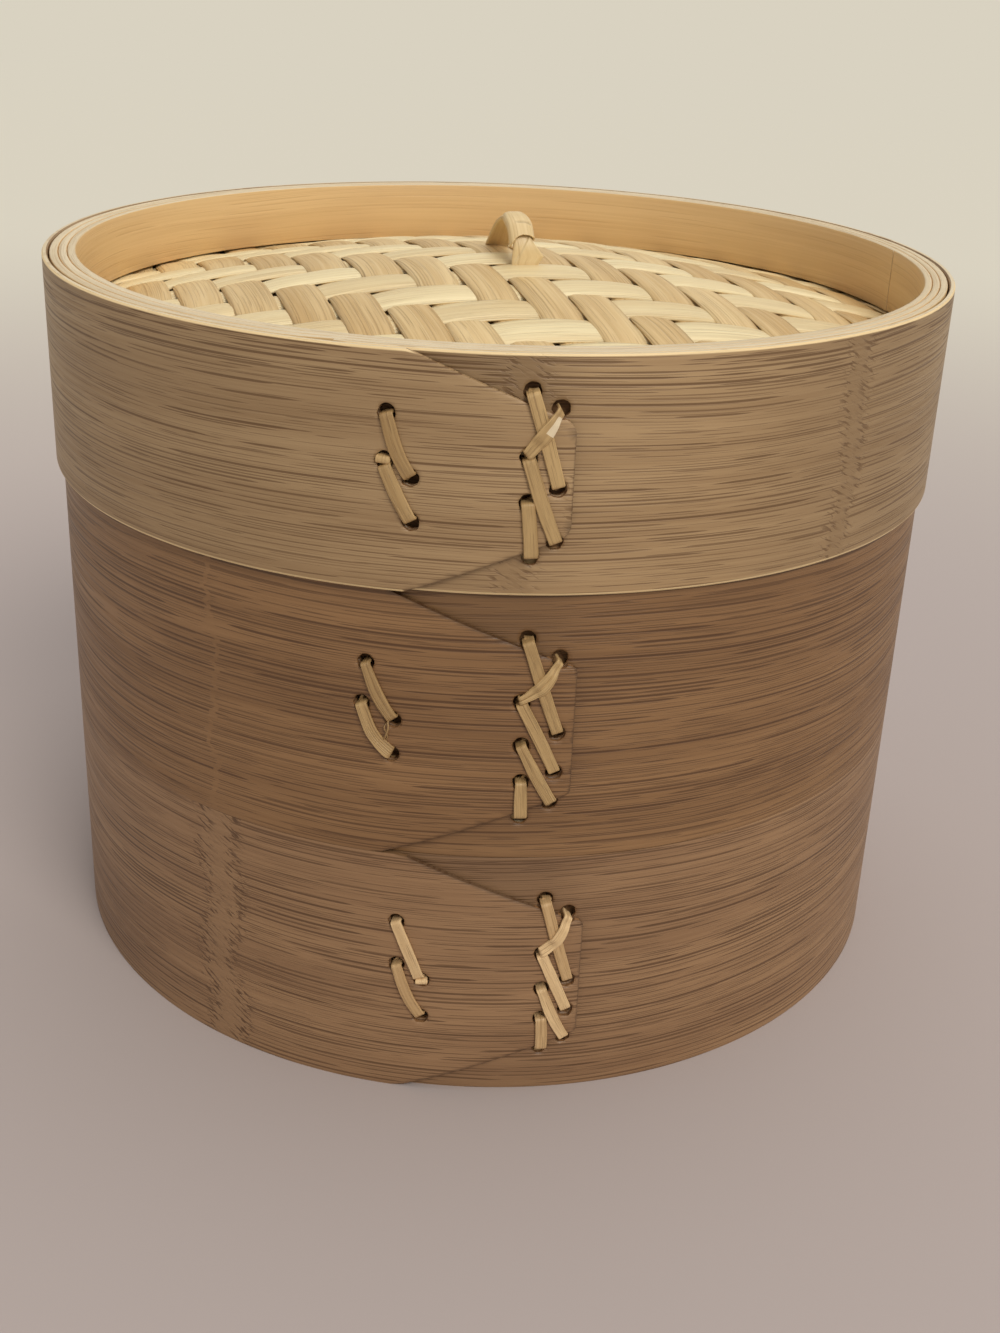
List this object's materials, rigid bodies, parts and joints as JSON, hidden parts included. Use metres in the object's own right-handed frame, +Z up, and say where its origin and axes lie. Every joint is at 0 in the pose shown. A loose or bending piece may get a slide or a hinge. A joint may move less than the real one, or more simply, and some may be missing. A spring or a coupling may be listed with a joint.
{
  "type": "bamboo steamer",
  "caption": "Round bamboo steamer with stacked tiers, slatted floors and a woven domed lid with a loop handle; laced wound bands.",
  "frame": {"origin": "centre of the lower tier's bottom edge, on the surface that the steamer stands on", "axes": "+Z up along the steamer's axis; -Y is the front, where the laced laps are; +X is to the right seen from the front"},
  "size_m": [0.2034, 0.2057, 0.1679],
  "materials": {
    "band": "split bamboo, natural, satin, with fine dark fibres",
    "hoop": "planed bamboo, warm tan, smooth",
    "slat": "planed bamboo, pale tan, with nodes",
    "weave": "thin bamboo strips, cream and tan, woven two over two",
    "lining": "thin bamboo strips, tan, woven",
    "lacing": "thin split bamboo, pale straw",
    "handle": "thin split bamboo, pale straw"
  },
  "bodies": {
    "lower_tier": {"lower_band": "band", "lower_inner_hoop": "hoop", "lower_floor_ring": "hoop", "lower_slat_01": "slat", "lower_slat_02": "slat", "lower_slat_03": "slat", "lower_slat_04": "slat", "lower_slat_05": "slat", "lower_slat_06": "slat", "lower_slat_07": "slat", "lower_slat_08": "slat", "lower_slat_09": "slat", "lower_slat_10": "slat", "lower_batten_left": "slat", "lower_batten_right": "slat", "lower_main_lacing": "lacing", "lower_side_lacing": "lacing"},
    "upper_tier": {"upper_band": "band", "upper_inner_hoop": "hoop", "upper_floor_ring": "hoop", "upper_slat_01": "slat", "upper_slat_02": "slat", "upper_slat_03": "slat", "upper_slat_04": "slat", "upper_slat_05": "slat", "upper_slat_06": "slat", "upper_slat_07": "slat", "upper_slat_08": "slat", "upper_slat_09": "slat", "upper_slat_10": "slat", "upper_batten_left": "slat", "upper_batten_right": "slat", "upper_main_lacing": "lacing", "upper_side_lacing": "lacing"},
    "lid": {"lid_band": "band", "lid_rim_hoop": "hoop", "lid_seat_hoop": "hoop", "lid_dome": "weave", "lid_lining": "lining", "lid_handle_loop": "handle", "lid_handle_wrap": "handle", "lid_main_lacing": "lacing", "lid_side_lacing": "lacing"}
  },
  "joints": [
    {"name": "upper_tier_lift", "type": "slide", "parent": "lower_tier", "child": "upper_tier", "axis": [0, 0, 1], "range_m": [0, 0.06]},
    {"name": "lid_lift", "type": "slide", "parent": "upper_tier", "child": "lid", "axis": [0, 0, 1], "range_m": [0, 0.06]}
  ]
}
